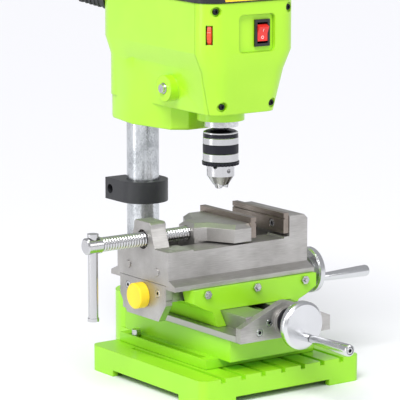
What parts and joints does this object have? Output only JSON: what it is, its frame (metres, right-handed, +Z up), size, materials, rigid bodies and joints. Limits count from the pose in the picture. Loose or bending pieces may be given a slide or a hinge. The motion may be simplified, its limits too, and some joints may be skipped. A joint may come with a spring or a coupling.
{
  "type": "micro drill press",
  "caption": "Small bench drill press: a belt-driven head on a round column over a cast base, with a screw vise on a cross slide and crank handwheels.",
  "frame": {"origin": "on the column's axis, at the level of the feet", "axes": "+Z up along the column, +Y to the back, -Y to the operator, +X to the operator's right"},
  "size_m": [0.3227, 0.3775, 0.384],
  "materials": {
    "green_enamel": "die-cast aluminium under satin lime green enamel",
    "ground_alloy": "ground cast aluminium",
    "bright_steel": "bright zinc and turned steel",
    "turned_aluminium": "turned and polished",
    "brass": "machined",
    "black_plastic": "black, fine texture",
    "yellow_plastic": "yellow moulded plastic",
    "red_plastic": "red moulded plastic",
    "orange_plastic": "orange-red moulded plastic",
    "belt_rubber": "matt black rubber"
  },
  "bodies": {
    "base": {"base_casting": "green_enamel", "column_lock_bolt": "bright_steel", "column": "bright_steel", "slide_base": "green_enamel", "slide_bolt_left": "bright_steel", "slide_bolt_right": "bright_steel", "y_bracket": "ground_alloy", "y_bracket_screw_1": "bright_steel", "y_bracket_screw_2": "bright_steel"},
    "collar": {"depth_collar": "black_plastic"},
    "head": {"head_casting": "green_enamel", "front_cover": "green_enamel", "motor": "black_plastic", "drive_belt": "belt_rubber", "top_cover": "black_plastic", "switch_frame": "black_plastic", "cord_gland": "belt_rubber"},
    "rocker": {"switch_rocker": "red_plastic"},
    "speed_wheel": {"speed_wheel": "orange_plastic"},
    "feed_shaft": {"pinion_shaft": "bright_steel", "feed_lever": "bright_steel", "lever_grip": "black_plastic"},
    "quill": {"quill": "bright_steel"},
    "spindle": {"spindle": "bright_steel", "chuck_body": "bright_steel"},
    "chuck_sleeve": {"chuck_sleeve": "bright_steel"},
    "chuck_jaw_1": {"chuck_jaw_1": "bright_steel"},
    "chuck_jaw_2": {"chuck_jaw_2": "bright_steel"},
    "chuck_jaw_3": {"chuck_jaw_3": "bright_steel"},
    "motor_pulley": {"motor_pulley": "turned_aluminium"},
    "spindle_pulley": {"spindle_pulley": "turned_aluminium"},
    "saddle": {"saddle": "green_enamel", "x_gib": "bright_steel", "gib_screw_1": "bright_steel", "gib_screw_2": "bright_steel", "gib_screw_3": "bright_steel", "y_nut": "brass", "x_nut": "brass"},
    "y_wheel": {"y_leadscrew": "bright_steel", "y_dial": "bright_steel", "y_handwheel": "bright_steel", "y_crank_bolt": "bright_steel"},
    "y_crank": {"y_crank_handle": "bright_steel"},
    "vise": {"vise_body": "ground_alloy", "fixed_jaw_plate": "bright_steel", "fixed_jaw_screw": "bright_steel", "x_end_plate": "ground_alloy", "x_end_plate_screw_1": "bright_steel", "x_end_plate_screw_2": "bright_steel", "x_screw_cap": "yellow_plastic", "x_bracket": "ground_alloy"},
    "x_wheel": {"x_leadscrew": "bright_steel", "x_dial": "bright_steel", "x_handwheel": "bright_steel", "x_crank_bolt": "bright_steel"},
    "x_crank": {"x_crank_handle": "bright_steel"},
    "moving_jaw": {"moving_jaw": "ground_alloy", "moving_jaw_plate": "bright_steel"},
    "vise_screw": {"vise_screw": "bright_steel"},
    "handle_bar": {"vise_handle_bar": "bright_steel"}
  },
  "joints": [
    {"name": "head_lift", "type": "slide", "parent": "base", "child": "head", "axis": [0, 0, 1], "range_m": [0, 0.05]},
    {"name": "collar_slide", "type": "slide", "parent": "base", "child": "collar", "axis": [0, 0, 1], "range_m": [-0.04, 0.05]},
    {"name": "feed_turn", "type": "hinge", "parent": "head", "child": "feed_shaft", "pos_m": [0, -0.10675, 0.277], "axis": [1, 0, 0], "range_deg": [0, 168]},
    {"name": "quill_feed", "type": "slide", "parent": "head", "child": "quill", "axis": [0, 0, -1], "range_m": [0, 0.022]},
    {"name": "motor_spin", "type": "hinge", "parent": "head", "child": "motor_pulley", "pos_m": [0, -0.06, 0.352], "axis": [0, 0, 1], "continuous": true},
    {"name": "pulley_spin", "type": "hinge", "parent": "head", "child": "spindle_pulley", "pos_m": [0, -0.131, 0.352], "axis": [0, 0, 1], "continuous": true},
    {"name": "spindle_spin", "type": "hinge", "parent": "quill", "child": "spindle", "pos_m": [0, -0.131, 0.2405], "axis": [0, 0, 1], "continuous": true},
    {"name": "sleeve_turn", "type": "hinge", "parent": "spindle", "child": "chuck_sleeve", "pos_m": [0, -0.131, 0.2185], "axis": [0, 0, 1], "range_deg": [0, 1440]},
    {"name": "chuck_jaw_1_slide", "type": "slide", "parent": "spindle", "child": "chuck_jaw_1", "axis": [0, 0.2924, 0.9563], "range_m": [0, 0.006]},
    {"name": "chuck_jaw_2_slide", "type": "slide", "parent": "spindle", "child": "chuck_jaw_2", "axis": [-0.2532, -0.1462, 0.9563], "range_m": [0, 0.006]},
    {"name": "chuck_jaw_3_slide", "type": "slide", "parent": "spindle", "child": "chuck_jaw_3", "axis": [0.2532, -0.1462, 0.9563], "range_m": [0, 0.006]},
    {"name": "switch_rock", "type": "hinge", "parent": "head", "child": "rocker", "pos_m": [0.0105, -0.1787, 0.3325], "axis": [1, 0, 0], "range_deg": [-24, 0]},
    {"name": "speed_turn", "type": "hinge", "parent": "head", "child": "speed_wheel", "pos_m": [-0.03972, -0.17022, 0.333], "axis": [0.7071, -0.7071, 0], "range_deg": [0, 270]},
    {"name": "y_turn", "type": "hinge", "parent": "base", "child": "y_wheel", "pos_m": [0, -0.2338, 0.071], "axis": [0, 1, 0], "range_deg": [-6300, 6300]},
    {"name": "y_slide", "type": "slide", "parent": "base", "child": "saddle", "axis": [0, 1, 0], "range_m": [-0.035, 0.035]},
    {"name": "y_crank_spin", "type": "hinge", "parent": "y_wheel", "child": "y_crank", "pos_m": [0.0075, -0.2838, 0.05801], "axis": [0, 1, 0], "continuous": true},
    {"name": "x_turn", "type": "hinge", "parent": "vise", "child": "x_wheel", "pos_m": [0.0798, -0.131, 0.0885], "axis": [1, 0, 0], "range_deg": [0, 1800]},
    {"name": "x_slide", "type": "slide", "parent": "saddle", "child": "vise", "axis": [1, 0, 0], "range_m": [0, 0.01]},
    {"name": "x_crank_spin", "type": "hinge", "parent": "x_wheel", "child": "x_crank", "pos_m": [0.13, -0.14481, 0.08264], "axis": [1, 0, 0], "continuous": true},
    {"name": "vise_screw_turn", "type": "hinge", "parent": "moving_jaw", "child": "vise_screw", "pos_m": [-0.145, -0.131, 0.1415], "axis": [1, 0, 0], "range_deg": [-3595, 3835]},
    {"name": "jaw_slide", "type": "slide", "parent": "vise", "child": "moving_jaw", "axis": [1, 0, 0], "range_m": [-0.03, 0.032]},
    {"name": "bar_slide", "type": "slide", "parent": "vise_screw", "child": "handle_bar", "axis": [0, 0, 1], "range_m": [0, 0.0595]}
  ],
  "couplings": [
    {"joint": "quill_feed", "follows": "feed_turn", "m_per_rad": 0.0075},
    {"joint": "pulley_spin", "follows": "motor_spin", "ratio": 0.54546},
    {"joint": "spindle_spin", "follows": "motor_spin", "ratio": 0.54546},
    {"joint": "y_turn", "follows": "y_slide", "rad_per_m": 3141.6},
    {"joint": "x_turn", "follows": "x_slide", "rad_per_m": 3141.6},
    {"joint": "jaw_slide", "follows": "vise_screw_turn", "m_per_rad": 0.00047746},
    {"joint": "chuck_jaw_1_slide", "follows": "sleeve_turn", "m_per_rad": 0.00023873},
    {"joint": "chuck_jaw_2_slide", "follows": "sleeve_turn", "m_per_rad": 0.00023873},
    {"joint": "chuck_jaw_3_slide", "follows": "sleeve_turn", "m_per_rad": 0.00023873}
  ]
}
